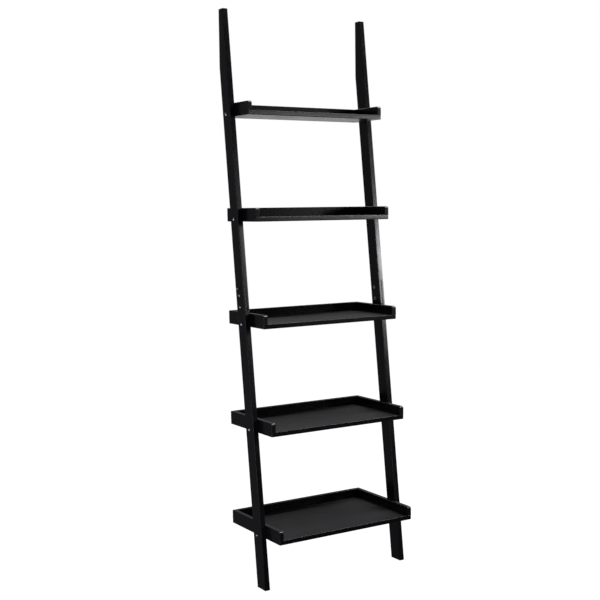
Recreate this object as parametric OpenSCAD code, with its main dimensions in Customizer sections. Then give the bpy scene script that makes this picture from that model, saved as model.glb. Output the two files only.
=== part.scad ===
// Leaning ladder shelf: two rails stand on the floor, lean on a wall and carry five trays.
// A tray is a board with a low side standing on each end and a lip along its back.
// X runs across the shelf, -Y is the front, +Y is the wall side and Z is up.
// The origin is on the floor, midway across the shelf and midway between the wall and
// the front edge of the lowest tray.
// Tiers are numbered from 1, the lowest and deepest tray, to 5, the highest and shallowest.

/* [Overall] */
// Height of the rails, from the floor to their top ends
height = 1900; // [1500:5:2300]
// Distance from the wall to the front edge of each foot
foot_reach = 250; // [200:1:310]
// Outer width of a tray, which is also the distance between the two rails
tray_w = 530; // [400:1:750]

/* [Rails] */
// Thickness of a rail, across the shelf
rail_t = 19; // [16:0.5:25]
// Depth of a rail, square to its length
rail_d = 50; // [42:1:64]
// Depth of the flat end at the top of a rail
rail_top_d = 28; // [20:1:40]
// Length of the half-lap that joins the lower and the upper half of a rail
lap_len = 85; // [64:1:120]
// Gap left at each end of the half-lap
lap_gap = 0.6; // [0.1:0.1:1.5]
// Distance from each end of the half-lap to its nearest bolt
lap_bolt_inset = 23; // [14:1:27]
// Distance from the front edge of a rail to its bolts, square to its length
bolt_setback = 30; // [20:1:32]

/* [Trays] */
// Height of the lowest tray's underside above the floor
low_tray_z = 165; // [90:1:220]
// Height of the rail tops above the highest tray's underside
top_rise = 355; // [150:1:450]
// How far each tray stands out in front of the rails
overhang = 85; // [55:1:120]
// Thickness of a shelf board
board_t = 15; // [13:0.5:22]
// Height of a tray, from its underside to the top of its sides and of its back lip
side_h = 45; // [40:1:70]
// Thickness of a tray side
side_t = 15; // [12.5:0.5:20]
// Thickness of the back lip
lip_t = 15; // [12.5:0.5:20]
// Radius of the rounded front top corner of a tray side
corner_r = 8; // [2:0.5:20]

/* [Bolts and nuts] */
// Diameter of the bolt shanks
bolt_d = 6; // [5:0.5:7]
// Diameter of the bolt heads
bolt_head_d = 10.5; // [9:0.1:13]
// Height of the bolt heads
bolt_head_h = 3.3; // [2.5:0.1:4]
// Size of the hexagon socket, across its flats
socket_af = 4; // [3:0.5:5]
// Depth of the hexagon socket
socket_deep = 2; // [1:0.1:2.4]
// Radial gap between a bolt and its hole in wood
bolt_gap = 0.3; // [0.1:0.05:0.6]
// Radial gap between a bolt and the thread of its nut
thread_gap = 0.1; // [0.05:0.01:0.2]
// Diameter of the barrel nuts in the shelf boards
nut_d = 10; // [9:0.5:12]
// Length of a barrel nut
nut_len = 10; // [8:0.5:11]
// Distance from the end of a shelf board to the axis of its barrel nuts
nut_inset = 40; // [30:1:55]
// Length of bolt past the axis of its barrel nut
bolt_tail = 6; // [5.5:0.5:12]
// Outer diameter of the sleeve nuts in the half-laps
sleeve_d = 8; // [7.6:0.2:10]
// Diameter of a sleeve nut's flange
flange_d = 13; // [11:0.5:16]
// Thickness of a sleeve nut's flange
flange_t = 1.4; // [1:0.1:2.5]

/* [Dowels and screws] */
// Diameter of the dowels between a rail and a tray side
dowel_d = 8; // [6:0.5:10]
// Length of such a dowel inside the rail
dowel_in_rail = 12; // [8:0.5:13]
// Length of such a dowel inside the tray side
dowel_in_side = 10; // [6:0.5:10.5]
// Height of such a dowel above the shelf board
dowel_z = 15; // [6:0.5:24]
// Diameter of the dowels between the shelf board and the back lip
lip_dowel_d = 6; // [5:0.5:8]
// Length of such a dowel inside the shelf board
lip_dowel_in_board = 10; // [6:0.5:11]
// Length of such a dowel inside the back lip
lip_dowel_in_lip = 15; // [10:0.5:20]
// Distance from the end of the back lip to its outer dowels
lip_dowel_inset = 70; // [55:1:120]
// Radial gap around every dowel, barrel nut, sleeve nut and screw
fit_gap = 0.05; // [0.02:0.01:0.1]
// Gap left past the inner end of every dowel, screw and nut
end_gap = 1; // [0.3:0.1:1.2]
// Diameter of the screw shanks
screw_d = 4; // [3:0.5:5]
// Length of the screws, which pass up through the shelf board
screw_len = 35; // [28:1:42]
// Diameter of the screw heads
screw_head_d = 8; // [6:0.5:9]
// Depth of the screw heads
screw_head_h = 2.8; // [2:0.1:4]
// Distance from the front and the back of a tray to the screws in its sides
screw_inset = 25; // [15:1:26]
// Distance from the end of the back lip to its screws
lip_screw_inset = 25; // [10:1:45]

/* [Hidden] */
$fn = 48;
tier_count = 5;
middle_tier = 3;
TIERS = [1 : tier_count];
paint = "#1d1d20";
steel = "#c9cbd0";
beech = "#d8b98a";

// Overrun of every cutting shape past the face that it cuts
over = 1;

// Lean of the rails from the vertical
lean = atan((foot_reach - rail_top_d) / height);
// Rise from one tray to the next
tray_pitch = (height - low_tray_z - top_rise) / (tier_count - 1);
// Overall depth, which is the depth of the lowest tray
depth = foot_reach - low_tray_z * tan(lean) + overhang;
wall_y = depth / 2;

inner_x = tray_w / 2;
lap_x = inner_x + rail_t / 2;
outer_x = inner_x + rail_t;
lip_w = tray_w - 2 * side_t;
nut_x = inner_x - nut_inset;
tray_bolt_len = rail_t + nut_inset + bolt_tail;
sleeve_len = rail_t / 2 - end_gap;
// Room between the axis of a tray bolt and the axis of the screw behind it, past the bolt's
// own hole and the dowel above it, which stands back with the lean
dowel_shift = (board_t / 2 + dowel_z) * tan(lean);
screw_room = max(bolt_d / 2 + bolt_gap + screw_head_d / 2, (dowel_d + screw_d) / 2 + dowel_shift)
    + 2 * fit_gap + end_gap;

// Height of a tray's underside
function tray_z(i) = low_tray_z + (i - 1) * tray_pitch;
// Y of the rails' front edge at height z
function rail_front(z) = wall_y - foot_reach + z * tan(lean);
// Rearmost Y of a tray bolt, which leaves room for a screw between it and the back lip
rear_bolt_y = wall_y - lip_t - screw_d - screw_room;
// Y of the bolts and dowels that pass into a rail at height z
function hole_y(z) = min(rail_front(z) + bolt_setback / cos(lean), rear_bolt_y);
// Y of the screw behind the bolt of tray i
function rear_screw_y(i) = max(wall_y - screw_inset, hole_y(bolt_z(i)) + screw_room);
// Y of a tray's front edge
function tray_front(i) = rail_front(tray_z(i)) - overhang;
function tray_depth(i) = wall_y - tray_front(i);
// Height of the bolt axis in the middle of a shelf board
function bolt_z(i) = tray_z(i) + board_t / 2;
// Height of a shelf board's top, on which the sides and the back lip stand
function board_top(i) = tray_z(i) + board_t;
function rail_dowel_z(i) = board_top(i) + dowel_z;

// The half-lap starts level with the top of the middle tray.
lap_z = tray_z(middle_tier) + side_h;

// ---- Helpers ----

// Puts a shape made for the right side on the right or on the left.
module on_side(side) {
    if (side == "left")
        mirror([1, 0, 0]) children();
    else
        children();
}

module on_both_sides() {
    children();
    mirror([1, 0, 0]) children();
}

// Extrudes an outline drawn in side view, as [y, z], from x over the thickness t.
module side_view(x, t) {
    translate([x, 0, 0])
        rotate([90, 0, 90])
            linear_extrude(t)
                children();
}

// Turns a shape that points along +Z so that it points inward from the right, along -X.
module inward(x, y, z) {
    translate([x, y, z])
        rotate([0, -90, 0])
            children();
}

// Places children at the two bolts of the right half-lap, pointing inward from x.
module at_lap_bolts(x) {
    for (v = [lap_bolt_inset, lap_len - lap_bolt_inset])
        translate([0, rail_front(lap_z), lap_z])
            rotate([-lean, 0, 0])
                inward(x, bolt_setback, v)
                    children();
}

// ---- Fasteners, each pointing along +Z ----

// Button-head bolt: its head stands below z = 0 and its shank runs up from there.
module bolt(len) {
    rim = bolt_head_h / 4;
    crown = bolt_head_h - rim;
    dome_r = (pow(bolt_head_d / 2, 2) + pow(crown, 2)) / (2 * crown);
    difference() {
        union() {
            intersection() {
                translate([0, 0, -bolt_head_h]) cylinder(d = bolt_head_d, h = bolt_head_h);
                translate([0, 0, dome_r - bolt_head_h]) sphere(dome_r);
            }
            cylinder(d = bolt_d, h = len);
        }
        translate([0, 0, -bolt_head_h - over])
            cylinder(d = socket_af / cos(30), h = socket_deep + over, $fn = 6);
    }
}

// Dowel with bevelled ends, from z = 0 up.
module dowel(d, len) {
    bevel = d / 8;
    cylinder(d1 = d - 2 * bevel, d2 = d, h = bevel);
    translate([0, 0, bevel]) cylinder(d = d, h = len - 2 * bevel);
    translate([0, 0, len - bevel]) cylinder(d1 = d, d2 = d - 2 * bevel, h = bevel);
}

// Solid form of a countersunk screw, grown by a gap all round to make its hole.
module screw_form(gap) {
    tip = screw_d;
    grown_d = screw_d + 2 * gap;
    cylinder(d1 = screw_head_d + 2 * gap, d2 = grown_d, h = screw_head_h);
    cylinder(d = grown_d, h = screw_len - tip);
    translate([0, 0, screw_len - tip]) cylinder(d1 = grown_d, d2 = grown_d / 4, h = tip);
}

module screw() {
    slot_w = screw_head_d / 8;
    slot_len = screw_head_d / 2;
    slot_deep = screw_head_h / 2;
    difference() {
        screw_form(0);
        for (turn = [0, 90])
            rotate(turn)
                translate([-slot_len / 2, -slot_w / 2, -over])
                    cube([slot_len, slot_w, slot_deep + over]);
    }
}

// The hole for a screw runs out past the face and a little past the tip.
module screw_hole() {
    screw_form(fit_gap);
    translate([0, 0, -over]) cylinder(d = screw_head_d + 2 * fit_gap, h = over);
    cylinder(d = screw_d / 2, h = screw_len + end_gap);
}

// Barrel nut, centred, with its axis along Z and its thread along X.
module barrel_nut() {
    slot_w = nut_d / 8;
    difference() {
        cylinder(d = nut_d, h = nut_len, center = true);
        rotate([0, 90, 0])
            cylinder(d = bolt_d + 2 * thread_gap, h = nut_d + 2 * over, center = true);
        translate([-nut_d, -slot_w / 2, -nut_len / 2 - over])
            cube([2 * nut_d, slot_w, slot_w + over]);
    }
}

// Sleeve nut: its flange stands below z = 0 and its sleeve runs up from there.
module sleeve_nut() {
    slot_w = flange_t;
    difference() {
        union() {
            translate([0, 0, -flange_t]) cylinder(d = flange_d, h = flange_t);
            cylinder(d = sleeve_d, h = sleeve_len);
        }
        translate([0, 0, flange_t / 2])
            cylinder(d = bolt_d + 2 * thread_gap, h = sleeve_len);
        translate([-flange_d / 3, -slot_w / 2, -flange_t - over])
            cube([flange_d * 2 / 3, slot_w, flange_t / 2 + over]);
    }
}

// ---- Rails ----

// A whole rail in side view, leaning back, with its foot cut level with the floor and
// its upper back edge cut upright where it would pass into the wall.
module rail_outline() {
    foot_y = rail_front(0);
    foot_d = rail_d / cos(lean);
    touch_z = (foot_reach - foot_d) / tan(lean);
    polygon([
        [foot_y, 0],
        [foot_y + foot_d, 0],
        [wall_y, touch_z],
        [wall_y, height],
        [rail_front(height), height]
    ]);
}

// Half-plane square to the rail, which starts v along the rail from the half-lap's
// lower end and reaches down (dir = -1) or up (dir = 1).
module past_cut(v, dir) {
    translate([rail_front(lap_z), lap_z])
        rotate(-lean)
            translate([-rail_d, dir < 0 ? v - height : v])
                square([3 * rail_d, height]);
}

// The tray bolts' and dowels' holes in the right rail, along its whole length.
module rail_holes() {
    for (i = TIERS) {
        inward(outer_x + over, hole_y(bolt_z(i)), bolt_z(i))
            cylinder(d = bolt_d + 2 * bolt_gap, h = rail_t + 2 * over);
        inward(inner_x + dowel_in_rail + end_gap, hole_y(rail_dowel_z(i)), rail_dowel_z(i))
            cylinder(d = dowel_d + 2 * fit_gap, h = dowel_in_rail + end_gap + over);
    }
}

// Lower half: full thickness below the half-lap and the outer tongue of the half-lap.
module rail_lower(side) {
    color(paint)
        on_side(side)
            difference() {
                union() {
                    side_view(inner_x, rail_t)
                        intersection() {
                            rail_outline();
                            past_cut(0, -1);
                        }
                    side_view(lap_x, rail_t / 2)
                        intersection() {
                            rail_outline();
                            past_cut(lap_len - lap_gap, -1);
                        }
                }
                rail_holes();
                at_lap_bolts(outer_x + over)
                    cylinder(d = bolt_d + 2 * bolt_gap, h = rail_t / 2 + 2 * over);
            }
}

// Upper half: full thickness above the half-lap and the inner tongue of the half-lap.
module rail_upper(side) {
    color(paint)
        on_side(side)
            difference() {
                union() {
                    side_view(inner_x, rail_t)
                        intersection() {
                            rail_outline();
                            past_cut(lap_len, 1);
                        }
                    side_view(inner_x, rail_t / 2)
                        intersection() {
                            rail_outline();
                            past_cut(lap_gap, 1);
                        }
                }
                rail_holes();
                at_lap_bolts(lap_x + over)
                    cylinder(d = sleeve_d + 2 * fit_gap, h = rail_t / 2 + 2 * over);
            }
}

module lap_bolts(side) {
    color(steel)
        on_side(side)
            at_lap_bolts(outer_x)
                bolt(rail_t / 2 + sleeve_len - end_gap);
}

module lap_nuts(side) {
    color(steel)
        on_side(side)
            at_lap_bolts(inner_x)
                rotate([180, 0, 0])
                    sleeve_nut();
}

// ---- Trays ----

// Places children under tray i where screws pass up into its right side.
module at_side_screws(i) {
    for (y = [tray_front(i) + screw_inset, rear_screw_y(i)])
        translate([inner_x - side_t / 2, y, tray_z(i)])
            children();
}

// Places children under tray i where a screw passes up into the right end of its back lip.
module at_lip_screw(i) {
    translate([lip_w / 2 - lip_screw_inset, wall_y - lip_t / 2, tray_z(i)])
        children();
}

// Places children at the dowels between the board and the back lip of tray i.
module at_lip_dowels(i) {
    for (side = [-1, 0, 1])
        translate([side * (lip_w / 2 - lip_dowel_inset), wall_y - lip_t / 2, board_top(i)])
            children();
}

module lip_dowel_holes(i) {
    at_lip_dowels(i)
        translate([0, 0, -lip_dowel_in_board - end_gap])
            cylinder(
                d = lip_dowel_d + 2 * fit_gap,
                h = lip_dowel_in_board + lip_dowel_in_lip + 2 * end_gap
            );
}

// Shelf board, the full width and depth of the tray, drawn down from its top.
module shelf_board(i) {
    z = bolt_z(i);
    color(paint)
        difference() {
            translate([-inner_x, wall_y, board_top(i)])
                mirror([0, 1, 0])
                    mirror([0, 0, 1])
                        cube([tray_w, tray_depth(i), board_t]);
            on_both_sides() {
                inward(inner_x + over, hole_y(z), z)
                    cylinder(d = bolt_d + 2 * bolt_gap, h = nut_inset + bolt_tail + end_gap + over);
                translate([nut_x, hole_y(z), tray_z(i) - over])
                    cylinder(
                        d = nut_d + 2 * fit_gap,
                        h = over + board_t / 2 + nut_len / 2 + end_gap / 3
                    );
                at_side_screws(i) screw_hole();
                at_lip_screw(i) screw_hole();
            }
            lip_dowel_holes(i);
        }
}

// Tray side, which stands on the end of the board, with its front top corner rounded.
module side_panel(i, side) {
    dz = rail_dowel_z(i);
    strip_h = side_h - board_t;
    color(paint)
        on_side(side)
            difference() {
                side_view(inner_x - side_t, side_t)
                    translate([tray_front(i), board_top(i)])
                        difference() {
                            square([tray_depth(i), strip_h]);
                            translate([0, strip_h]) corner_waste(corner_r);
                        }
                inward(inner_x + over, hole_y(dz), dz)
                    cylinder(d = dowel_d + 2 * fit_gap, h = dowel_in_side + end_gap + over);
                at_side_screws(i) screw_hole();
            }
}

// What is cut away to round a top left corner that is at the origin.
module corner_waste(r) {
    difference() {
        translate([-over, -r]) square(r + over);
        translate([r, -r]) circle(r);
    }
}

// Back lip, which stands on the board between the two sides.
module back_lip(i) {
    color(paint)
        difference() {
            translate([-lip_w / 2, wall_y - lip_t, board_top(i)])
                cube([lip_w, lip_t, side_h - board_t]);
            on_both_sides()
                at_lip_screw(i) screw_hole();
            lip_dowel_holes(i);
        }
}

module tray_bolts(i) {
    color(steel)
        on_both_sides()
            inward(outer_x, hole_y(bolt_z(i)), bolt_z(i))
                bolt(tray_bolt_len);
}

module barrel_nuts(i) {
    color(steel)
        on_both_sides()
            translate([nut_x, hole_y(bolt_z(i)), bolt_z(i)])
                barrel_nut();
}

module rail_dowels(i) {
    color(beech)
        on_both_sides()
            inward(inner_x + dowel_in_rail, hole_y(rail_dowel_z(i)), rail_dowel_z(i))
                dowel(dowel_d, dowel_in_rail + dowel_in_side);
}

module lip_dowels(i) {
    color(beech)
        at_lip_dowels(i)
            translate([0, 0, -lip_dowel_in_board])
                dowel(lip_dowel_d, lip_dowel_in_board + lip_dowel_in_lip);
}

module side_screws(i) {
    color(paint)
        on_both_sides() {
            at_side_screws(i) screw();
            at_lip_screw(i) screw();
        }
}

// ---- The whole shelf ----

rail_lower("left");  // rail_lower_left
rail_lower("right");  // rail_lower_right
rail_upper("left");  // rail_upper_left
rail_upper("right");  // rail_upper_right
for (i = TIERS) {
    shelf_board(i);
    side_panel(i, "left");
    side_panel(i, "right");
    back_lip(i);
    tray_bolts(i);
    barrel_nuts(i);
    rail_dowels(i);
    lip_dowels(i);
    side_screws(i);
}
lap_bolts("left");  // lap_bolts_left
lap_bolts("right");  // lap_bolts_right
lap_nuts("left");  // lap_nuts_left
lap_nuts("right");  // lap_nuts_right
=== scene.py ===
import math

import bpy
from mathutils import Matrix, Vector


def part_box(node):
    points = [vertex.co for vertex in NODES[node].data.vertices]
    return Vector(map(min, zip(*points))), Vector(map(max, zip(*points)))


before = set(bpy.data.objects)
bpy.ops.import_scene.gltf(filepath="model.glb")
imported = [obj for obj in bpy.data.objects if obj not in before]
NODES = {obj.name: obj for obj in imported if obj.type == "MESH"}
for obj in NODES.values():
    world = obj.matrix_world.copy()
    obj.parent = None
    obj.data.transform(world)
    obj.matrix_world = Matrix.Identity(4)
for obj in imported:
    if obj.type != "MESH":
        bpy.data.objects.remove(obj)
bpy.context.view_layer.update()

MM = 0.001
TIERS = range(1, 6)

# ---- Sizes taken from the frame ----

RAIL_LOW, RAIL_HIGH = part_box("rail_lower_left")[0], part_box("rail_upper_left")[1]
HEIGHT = RAIL_HIGH.z
WALL_Y = RAIL_HIGH.y
RAIL_FOOT_Y = RAIL_LOW.y


def rail_lean():
    """The rails' lean from the vertical, from the two ends of their front edge."""
    upper = NODES["rail_upper_left"].data.vertices
    top_front = min(v.co.y for v in upper if v.co.z > HEIGHT - 0.1 * MM)
    return math.atan2(top_front - RAIL_FOOT_Y, HEIGHT)


LEAN = rail_lean()

# ---- Node helpers ----


class Tree:
    """Short calls for building one node tree."""

    def __init__(self, tree):
        self.tree = tree
        self.x = 0

    def node(self, kind, settings=None, **inputs):
        """Adds a node. Inputs go by name, with _ for a space."""
        n = self.tree.nodes.new(kind)
        self.x += 180
        n.location = (self.x, 0)
        for key, value in (settings or {}).items():
            setattr(n, key, value)
        for key, value in inputs.items():
            self.set(n, key.replace("_", " "), value)
        return n

    def set(self, n, key, value):
        """Sets an input, by its name or number, to a value or to another node's output."""
        socket = n.inputs[int(key)] if key.isdigit() else n.inputs[key]
        if isinstance(value, bpy.types.NodeSocket):
            self.tree.links.new(value, socket)
        else:
            socket.default_value = value

    def math(self, op, a, b=0.0, c=0.0):
        n = self.node("ShaderNodeMath", {"operation": op})
        for i, value in enumerate((a, b, c)):
            self.set(n, str(i), value)
        return n.outputs[0]

    def noise(self, vector, scale, w=0.0, detail=3.0, rough=0.55, distort=0.0):
        n = self.node("ShaderNodeTexNoise", {"noise_dimensions": "4D"}, Vector=vector,
                      W=w, Scale=scale, Detail=detail, Roughness=rough, Distortion=distort)
        return n.outputs["Fac"]

    def remap(self, value, low, high, to_low=0.0, to_high=1.0):
        n = self.node("ShaderNodeMapRange", {"interpolation_type": "SMOOTHSTEP"}, Value=value)
        for key, number in (("From Min", low), ("From Max", high),
                            ("To Min", to_low), ("To Max", to_high)):
            n.inputs[key].default_value = number
        return n.outputs["Result"]

    def mix(self, share, a, b):
        n = self.node("ShaderNodeMix", {"data_type": "RGBA"})
        self.set(n, "0", share)
        for index, value in ((6, a), (7, b)):
            if not isinstance(value, bpy.types.NodeSocket):
                value = (*value, 1.0)
            self.set(n, str(index), value)
        return n.outputs[2]


def new_material(name):
    """A material with an empty tree, its Principled shader and its tree helper."""
    mat = bpy.data.materials.new(name)
    mat.use_nodes = True
    mat.node_tree.nodes.clear()
    t = Tree(mat.node_tree)
    out = t.node("ShaderNodeOutputMaterial")
    shader = t.node("ShaderNodeBsdfPrincipled")
    t.tree.links.new(shader.outputs[0], out.inputs[0])
    return mat, shader, t


def piece_seed(t):
    """A number that differs from piece to piece, for the fourth axis of the patterns."""
    info = t.node("ShaderNodeObjectInfo")
    return t.math("MULTIPLY", info.outputs["Random"], 37.0)


# ---- Painted wood ----

# How the wood grain lies: the turn of the pattern, and the axis it then runs along
GRAINS = {
    "rail": ((-LEAN, 0.0, 0.0), 2),
    "across": ((0.0, 0.0, 0.0), 0),
    "deep": ((0.0, 0.0, 0.0), 1),
}
PAINT_DARK = (0.0030, 0.0029, 0.0036)
PAINT_LIGHT = (0.0066, 0.0063, 0.0076)
RUBBED = (0.045, 0.043, 0.042)
BARE_WOOD = (0.16, 0.095, 0.05)
SHEEN = 0.5            # how much the paint mirrors, as the shader's specular level
LIP_SHEEN = 0.10       # the same on the back lips
END_DULL = 0.22        # extra roughness of painted end grain
END_DIM = 0.6          # share of the sheen that end grain loses
TOP_DULL = 0.25        # extra roughness of the tray tops, from things set down on them
FACING = (0.75, 0.97)  # a normal's part along an axis, from where a face starts to face that way


def grain_vector(t, grain, along, across):
    """Object coordinates, stretched along the grain: cycles per metre along and across it."""
    turn, axis = GRAINS[grain]
    scale = [1.0 / across] * 3
    scale[axis] = 1.0 / along
    coords = t.node("ShaderNodeTexCoord").outputs["Object"]
    m = t.node("ShaderNodeMapping", {"vector_type": "TEXTURE"}, Vector=coords)
    m.inputs["Rotation"].default_value = turn
    m.inputs["Scale"].default_value = scale
    return m.outputs["Vector"]


def face_normal(t):
    """The X, Y and Z of the object's own normal."""
    normal = t.node("ShaderNodeTexCoord").outputs["Normal"]
    return t.node("ShaderNodeSeparateXYZ", Vector=normal).outputs


def paint_material(name, grain, arris=False, sheen=SHEEN, top_dull=0.0):
    """Satin black paint that lets a little of the grain through, worn along the arrises.
    It is duller on the end grain of pieces that run deep, and by top_dull on upward faces."""
    mat, shader, t = new_material(name)
    seed = piece_seed(t)
    coords = t.node("ShaderNodeTexCoord").outputs["Object"]
    # Patterns, all in cycles per metre
    pores = t.noise(grain_vector(t, grain, 22.0, 900.0), 1.0, seed, detail=2.0)
    figure = t.noise(grain_vector(t, grain, 2.4, 52.0), 1.0, seed, detail=4.0, distort=0.8)
    smudge = t.noise(coords, 9.0, seed, detail=4.0)
    peel = t.noise(coords, 620.0, seed, detail=1.0)

    pore = t.remap(pores, 0.56, 0.72)
    tone = t.math("ADD", t.remap(figure, 0.3, 0.7, 0.0, 0.7), t.remap(smudge, 0.35, 0.7, 0.0, 0.3))
    colour = t.mix(tone, PAINT_DARK, PAINT_LIGHT)
    rough = t.math("ADD", t.remap(smudge, 0.3, 0.7, 0.17, 0.25), t.remap(figure, 0.3, 0.7, 0.0, 0.05))
    rough = t.math("ADD", rough, t.math("MULTIPLY", pore, 0.06))
    mirror = sheen
    if grain == "deep":
        end_grain = t.remap(t.math("ABSOLUTE", face_normal(t)[1]), *FACING)
        rough = t.math("ADD", rough, t.math("MULTIPLY", end_grain, END_DULL))
        mirror = t.math("MULTIPLY_ADD", end_grain, -END_DIM * sheen, sheen)
    if top_dull:
        rough = t.math("ADD", rough, t.remap(face_normal(t)[2], *FACING, 0.0, top_dull))
    if arris:
        chips = t.noise(coords, 70.0, seed, detail=5.0, rough=0.65)
        speck = t.noise(coords, 260.0, seed, detail=2.0)
        rubbed = t.remap(chips, 0.46, 0.68, 0.0, 0.55)
        bare = t.math("MULTIPLY", t.remap(chips, 0.70, 0.76), t.remap(speck, 0.5, 0.6))
        colour = t.mix(rubbed, colour, RUBBED)
        colour = t.mix(bare, colour, BARE_WOOD)
        rough = t.math("SUBTRACT", rough, t.math("MULTIPLY", rubbed, 0.06))
        rough = t.math("ADD", rough, t.math("MULTIPLY", bare, 0.3))
    t.set(shader, "Base Color", colour)
    t.set(shader, "Roughness", rough)
    t.set(shader, "Specular IOR Level", mirror)

    height = t.math("MULTIPLY", pore, -0.020)
    height = t.math("ADD", height, t.math("MULTIPLY", figure, 0.05))
    height = t.math("ADD", height, t.math("MULTIPLY", peel, 0.012))
    bump = t.node("ShaderNodeBump", Height=height)
    bump.inputs["Strength"].default_value = 0.55
    bump.inputs["Distance"].default_value = 1.0 * MM
    t.set(shader, "Normal", bump.outputs[0])
    return mat


# ---- Metal and bare wood ----


def steel_material(name, colour, dull, rough_low, rough_high):
    """Bright plated steel with fine turning marks, a few scuffs and dull spots."""
    mat, shader, t = new_material(name)
    seed = piece_seed(t)
    coords = t.node("ShaderNodeTexCoord").outputs["Object"]
    cloud = t.noise(coords, 160.0, seed, detail=4.0)
    marks = t.noise(grain_vector(t, "across", 9000.0, 700.0), 1.0, seed, detail=2.0)
    scuff = t.noise(grain_vector(t, "deep", 150.0, 3200.0), 1.0, seed, detail=2.0)
    spots = t.remap(cloud, 0.55, 0.72)
    t.set(shader, "Base Color", t.mix(spots, colour, dull))
    rough = t.math("ADD", t.remap(cloud, 0.3, 0.7, rough_low, rough_high),
                   t.remap(scuff, 0.6, 0.75, 0.0, 0.12))
    t.set(shader, "Roughness", rough)
    shader.inputs["Metallic"].default_value = 1.0
    height = t.math("ADD", t.math("MULTIPLY", marks, 0.02), t.math("MULTIPLY", scuff, 0.02))
    bump = t.node("ShaderNodeBump", Height=height)
    bump.inputs["Strength"].default_value = 0.35
    bump.inputs["Distance"].default_value = 0.3 * MM
    t.set(shader, "Normal", bump.outputs[0])
    return mat


def beech_material(name, grain):
    """Bare turned beech with its short brown flecks."""
    mat, shader, t = new_material(name)
    seed = piece_seed(t)
    rings = t.noise(grain_vector(t, grain, 14.0, 420.0), 1.0, seed, detail=3.0, distort=0.4)
    fleck = t.noise(grain_vector(t, grain, 260.0, 2600.0), 1.0, seed, detail=1.0)
    colour = t.mix(t.remap(rings, 0.3, 0.7), (0.62, 0.42, 0.25), (0.46, 0.28, 0.15))
    colour = t.mix(t.remap(fleck, 0.62, 0.72, 0.0, 0.6), colour, (0.26, 0.13, 0.06))
    t.set(shader, "Base Color", colour)
    t.set(shader, "Roughness", t.remap(rings, 0.3, 0.7, 0.5, 0.68))
    bump = t.node("ShaderNodeBump", Height=t.math("MULTIPLY", rings, -1.0))
    bump.inputs["Strength"].default_value = 0.4
    bump.inputs["Distance"].default_value = 0.2 * MM
    t.set(shader, "Normal", bump.outputs[0])
    return mat


def screw_paint(name):
    """Thick paint over a screw head, with the brush dimples it leaves."""
    mat, shader, t = new_material(name)
    seed = piece_seed(t)
    coords = t.node("ShaderNodeTexCoord").outputs["Object"]
    blobs = t.noise(coords, 330.0, seed, detail=2.0)
    fine = t.noise(coords, 1500.0, seed, detail=2.0)
    t.set(shader, "Base Color", t.mix(blobs, PAINT_DARK, PAINT_LIGHT))
    t.set(shader, "Roughness", t.remap(blobs, 0.3, 0.7, 0.24, 0.4))
    height = t.math("ADD", t.math("MULTIPLY", blobs, 0.3), t.math("MULTIPLY", fine, 0.05))
    bump = t.node("ShaderNodeBump", Height=height)
    bump.inputs["Strength"].default_value = 0.6
    bump.inputs["Distance"].default_value = 0.5 * MM
    t.set(shader, "Normal", bump.outputs[0])
    return mat


# ---- Eased edges ----

EASE = 1.5 * MM            # radius of a free arris
BOARD_EASE = 2.5 * MM      # the same on the shelf boards
EASE_SEGMENTS = 4
SEAM_EASE = 0.25           # share of it along a joint between two pieces
NO_SEAM = -1.0             # no edge lies at a negative |X| or |Z|
HARD = math.radians(35)    # an edge that turns more than this is an arris
SHORTEST_ARRIS = 0.9 * MM  # rims of holes have shorter edges and stay crisp
WELD = 0.002 * MM          # points this close are one
ON_PLANE = 0.05 * MM       # how near to a seam's plane an edge counts as in it


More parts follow.
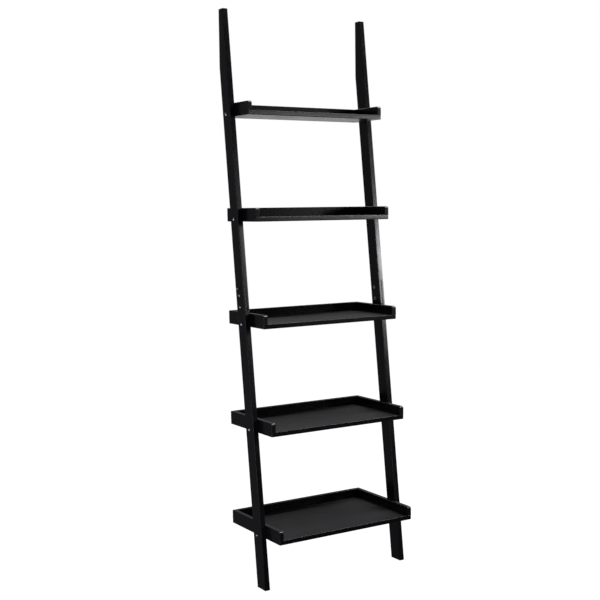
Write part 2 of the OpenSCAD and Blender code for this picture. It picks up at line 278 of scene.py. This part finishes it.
def edge_group():
    """Geometry nodes that weld the mesh, weigh its arrises for the Bevel and keep rims sharp.
    Edges in the seam's X plane or Z plane get the lower weight; with Both, only those in both."""
    g = bpy.data.node_groups.new("weigh_arrises", "GeometryNodeTree")
    for name, kind, way in (("Geometry", "NodeSocketGeometry", "INPUT"),
                            ("Seam X", "NodeSocketFloat", "INPUT"),
                            ("Seam Z", "NodeSocketFloat", "INPUT"),
                            ("Both", "NodeSocketFloat", "INPUT"),
                            ("Geometry", "NodeSocketGeometry", "OUTPUT")):
        g.interface.new_socket(name, socket_type=kind, in_out=way)
    t = Tree(g)
    start, end = t.node("NodeGroupInput"), t.node("NodeGroupOutput")
    weld = t.node("GeometryNodeMergeByDistance", Geometry=start.outputs[0], Distance=WELD)
    angle = t.node("GeometryNodeInputMeshEdgeAngle").outputs[0]
    ends = t.node("GeometryNodeInputMeshEdgeVertices")
    span = t.node("ShaderNodeVectorMath", {"operation": "DISTANCE"})
    t.set(span, "0", ends.outputs["Position 1"])
    t.set(span, "1", ends.outputs["Position 2"])
    hard = t.math("GREATER_THAN", angle, HARD)
    long = t.math("GREATER_THAN", span.outputs["Value"], SHORTEST_ARRIS)
    arris = t.math("MULTIPLY", hard, long)
    rim = t.math("SUBTRACT", hard, arris)
    in_plane = []
    for axis, socket in ((0, "Seam X"), (2, "Seam Z")):
        near = []
        for key in ("Position 1", "Position 2"):
            place = t.node("ShaderNodeSeparateXYZ", Vector=ends.outputs[key]).outputs[axis]
            off = t.math("SUBTRACT", t.math("ABSOLUTE", place), start.outputs[socket])
            near.append(t.math("LESS_THAN", t.math("ABSOLUTE", off), ON_PLANE))
        in_plane.append(t.math("MULTIPLY", *near))
    either = t.math("MULTIPLY", t.math("MAXIMUM", *in_plane),
                    t.math("SUBTRACT", 1.0, start.outputs["Both"]))
    seam = t.math("MAXIMUM", either, t.math("MULTIPLY", *in_plane))
    share = t.math("SUBTRACT", 1.0, t.math("MULTIPLY", seam, 1.0 - SEAM_EASE))
    store = t.node("GeometryNodeStoreNamedAttribute", {"data_type": "FLOAT", "domain": "EDGE"},
                   Geometry=weld.outputs[0], Name="bevel_weight_edge",
                   Value=t.math("MULTIPLY", arris, share))
    smooth = t.node("GeometryNodeSetShadeSmooth", {"domain": "FACE"}, Geometry=store.outputs[0])
    crisp = t.node("GeometryNodeSetShadeSmooth", {"domain": "EDGE"}, Geometry=smooth.outputs[0],
                   Selection=rim)
    crisp.inputs["Shade Smooth"].default_value = False
    t.set(end, "0", crisp.outputs[0])
    return g


ARRISES = edge_group()


def ease_edges(obj, seam_x, seam_z, both, width):
    """Rounds the arrises of a CAD node; their faces take its second material."""
    weigh = obj.modifiers.new("weigh_arrises", "NODES")
    weigh.node_group = ARRISES
    for name, value in (("Seam X", seam_x), ("Seam Z", seam_z), ("Both", both)):
        weigh[ARRISES.interface.items_tree[name].identifier] = value
    bevel = obj.modifiers.new("ease", "BEVEL")
    bevel.limit_method = "WEIGHT"
    bevel.width = width
    bevel.segments = EASE_SEGMENTS
    bevel.use_clamp_overlap = False
    bevel.loop_slide = False
    bevel.material = 1
    normals = obj.modifiers.new("flat_faces", "WEIGHTED_NORMAL")
    normals.keep_sharp = True
    normals.weight = 100


# ---- Dressing the CAD nodes ----


def finish(node, *materials):
    """Gives a CAD node its materials, in the order of its slots."""
    obj = NODES[node]
    obj.data.materials.clear()
    for mat in materials:
        obj.data.materials.append(mat)
    return obj


def paint(node, face, arris, seam_x=NO_SEAM, seam_z=NO_SEAM, both=0.0, width=EASE):
    """Paints a wooden CAD node and rounds its arrises, less along its seams."""
    ease_edges(finish(node, face, arris), seam_x, seam_z, both, width)


SIDES = ("left", "right")
BOARD_END_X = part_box("shelf_board_1")[1].x
LIP_END_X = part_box("back_lip_1")[1].x

# Paint of the faces and of the arrises
ARRIS_PAINT = {grain: paint_material(f"black_paint_{grain}_arris", grain, arris=True)
               for grain in GRAINS}
RAIL_PAINT = paint_material("black_paint_rail", "rail"), ARRIS_PAINT["rail"]
SIDE_PAINT = paint_material("black_paint_deep", "deep"), ARRIS_PAINT["deep"]
LIP_PAINT = paint_material("black_paint_lips", "across", sheen=LIP_SHEEN), ARRIS_PAINT["across"]
BOARD_PAINT = paint_material("black_paint_boards", "across", top_dull=TOP_DULL), ARRIS_PAINT["across"]
BOLT_STEEL = steel_material("bolt_steel", (0.72, 0.73, 0.75), (0.42, 0.42, 0.44), 0.20, 0.34)
NUT_STEEL = steel_material("nut_steel", (0.60, 0.60, 0.58), (0.36, 0.35, 0.32), 0.32, 0.46)
DOWEL_ACROSS = beech_material("beech_across", "across")
DOWEL_DEEP = beech_material("beech_deep", "deep")
SCREW_PAINT = screw_paint("black_paint_screws")

for side in SIDES:
    for half in ("lower", "upper"):
        paint(f"rail_{half}_{side}", *RAIL_PAINT)
    finish(f"lap_bolts_{side}", BOLT_STEEL)
    finish(f"lap_nuts_{side}", NUT_STEEL)
for i in TIERS:
    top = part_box(f"shelf_board_{i}")[1].z
    paint(f"shelf_board_{i}", *BOARD_PAINT, BOARD_END_X, top, both=1.0, width=BOARD_EASE)
    paint(f"back_lip_{i}", *LIP_PAINT, LIP_END_X, top)
    for side in SIDES:
        paint(f"side_{side}_{i}", *SIDE_PAINT, seam_z=top)
    finish(f"tray_bolts_{i}", BOLT_STEEL)
    finish(f"barrel_nuts_{i}", NUT_STEEL)
    finish(f"rail_dowels_{i}", DOWEL_ACROSS)
    finish(f"lip_dowels_{i}", DOWEL_DEEP)
    finish(f"side_screws_{i}", SCREW_PAINT)

# ---- Floor ----

FLOOR_REACH = 60.0     # from its middle to each side
FLOOR_DIM, FLOOR_BRIGHT = (0.11, 0.11, 0.11), (0.12, 0.12, 0.12)


def make_floor():
    """A white floor that glows as the background does, so it shows no shadow and no edge."""
    mesh = bpy.data.meshes.new("floor")
    r = FLOOR_REACH
    mesh.from_pydata([(-r, -r, 0), (r, -r, 0), (r, r, 0), (-r, r, 0)], [], [(0, 1, 2, 3)])
    obj = bpy.data.objects.new("floor", mesh)
    bpy.context.scene.collection.objects.link(obj)
    mat, shader, t = new_material("floor_pale")
    coords = t.node("ShaderNodeTexCoord").outputs["Object"]
    cloud = t.noise(coords, 1.3, detail=3.0)
    t.set(shader, "Base Color", t.mix(cloud, FLOOR_DIM, FLOOR_BRIGHT))
    shader.inputs["Roughness"].default_value = 0.9
    shader.inputs["Specular IOR Level"].default_value = 0.0
    shader.inputs["Emission Color"].default_value = (1.0, 1.0, 1.0, 1.0)
    shader.inputs["Emission Strength"].default_value = 1.0
    mesh.materials.append(mat)
    obj.visible_glossy = False
    obj.visible_diffuse = False


make_floor()

# ---- Studio ----

ROOM_COLOUR = (0.90, 0.87, 1.0)
ROOM_GLOW = 0.045


def softbox(name, place, target, size, glow, colour=(1.0, 1.0, 1.0)):
    """A rectangular panel of light of the given radiance, which the camera doesn't see."""
    light = bpy.data.lights.new(name, "AREA")
    light.shape = "RECTANGLE"
    light.size, light.size_y = size
    light.energy = glow * math.pi * size[0] * size[1]
    light.color = colour
    obj = bpy.data.objects.new(name, light)
    bpy.context.scene.collection.objects.link(obj)
    obj.location = place
    obj.visible_camera = False
    obj.rotation_mode = "QUATERNION"
    obj.rotation_quaternion = (Vector(target) - Vector(place)).to_track_quat("-Z", "Y")


def make_world():
    """White behind the shelf; what the shelf itself mirrors is a dim room."""
    world = bpy.data.worlds.new("studio")
    bpy.context.scene.world = world
    world.use_nodes = True
    world.node_tree.nodes.clear()
    t = Tree(world.node_tree)
    out = t.node("ShaderNodeOutputWorld")
    white = t.node("ShaderNodeBackground", Color=(1, 1, 1, 1), Strength=1.0)
    room = t.node("ShaderNodeBackground", Color=(*ROOM_COLOUR, 1), Strength=ROOM_GLOW)
    path = t.node("ShaderNodeLightPath")
    mix = t.node("ShaderNodeMixShader")
    t.set(mix, "0", path.outputs["Is Camera Ray"])
    t.set(mix, "1", room.outputs[0])
    t.set(mix, "2", white.outputs[0])
    t.tree.links.new(mix.outputs[0], out.inputs[0])


make_world()
# Each panel's name, its place, the point it faces, its size and its radiance.
# The two at the wall side are mirrored by the tray tops and by the rails' left faces.
softbox("wall_right", (2.8, 3.3, 1.4), (0.6, 0.0, 1.2), (4.4, 4.6), 0.15, (0.97, 0.95, 1.0))
softbox("wall_left", (-3.0, 3.3, 0.8), (-0.4, 0.0, 0.8), (4.4, 5.6), 0.05, ROOM_COLOUR)
# The three at the front right are mirrored by the rails' front faces, most of all by the right
# rail's, and by the front edges of the upper trays: a bright core, its dim left end and a
# halo round it.
softbox("front_core", (2.35, -2.30, 1.46), (0.2, 0.0, 1.1), (0.7, 0.36), 22.0)
softbox("front_dim", (1.45, -2.60, 1.62), (0.0, 0.0, 1.1), (0.5, 0.3), 3.5)
softbox("front_halo", (2.15, -2.45, 1.60), (0.1, 0.0, 1.3), (1.6, 1.1), 0.7)
# The two above are mirrored by rounded front corners and by top arrises.
softbox("above_right", (1.85, -0.35, 3.7), (0.1, -0.05, 1.0), (1.6, 1.6), 13.0)
softbox("back_high", (0.5, 3.3, 3.8), (0.0, 0.0, 1.0), (2.8, 1.0), 2.5)
# The left one is mirrored by the bolt heads.
softbox("left", (-3.2, -0.2, 1.0), (0.0, 0.0, 1.0), (0.7, 2.2), 3.0, (0.95, 0.94, 1.0))
# The two on the floor are mirrored by the top tray's underside and, in views from behind, by
# the backs and the left faces.
softbox("floor_behind", (4.4, 4.4, 0.01), (4.4, 4.4, 1.0), (8.0, 8.0), 1.0)
softbox("floor_left", (-4.4, -4.4, 0.01), (-4.4, -4.4, 1.0), (8.0, 8.0), 0.6)

# ---- Camera, at the photograph's angle ----

CAMERA_PLACE = (-2.0100, WALL_Y - 3.2423, 1.2455)
CAMERA_TURN = (32.05, 4.877, 0.716)  # yaw to the right, pitch down and roll, in degrees
CAMERA_LENS = 65.33
SENSOR_WIDTH = 36.0
FAR = 200.0            # beyond the far side of the floor


def make_camera():
    """Places the camera and turns it by its yaw, then its pitch, then its roll."""
    yaw, pitch, roll = (math.radians(a) for a in CAMERA_TURN)
    forward = Vector((math.sin(yaw) * math.cos(pitch),
                      math.cos(yaw) * math.cos(pitch),
                      -math.sin(pitch)))
    right = Vector((math.cos(yaw), -math.sin(yaw), 0))
    up = right.cross(forward)
    right, up = (right * math.cos(roll) - up * math.sin(roll),
                 right * math.sin(roll) + up * math.cos(roll))
    cam = bpy.data.objects.new("camera", bpy.data.cameras.new("camera"))
    cam.data.lens = CAMERA_LENS
    cam.data.sensor_width = SENSOR_WIDTH
    cam.data.clip_end = FAR
    turn = Matrix((right, up, -forward)).transposed().to_4x4()
    cam.matrix_world = Matrix.Translation(CAMERA_PLACE) @ turn
    bpy.context.scene.collection.objects.link(cam)
    bpy.context.scene.camera = cam


make_camera()
bpy.context.scene.view_settings.view_transform = "Standard"
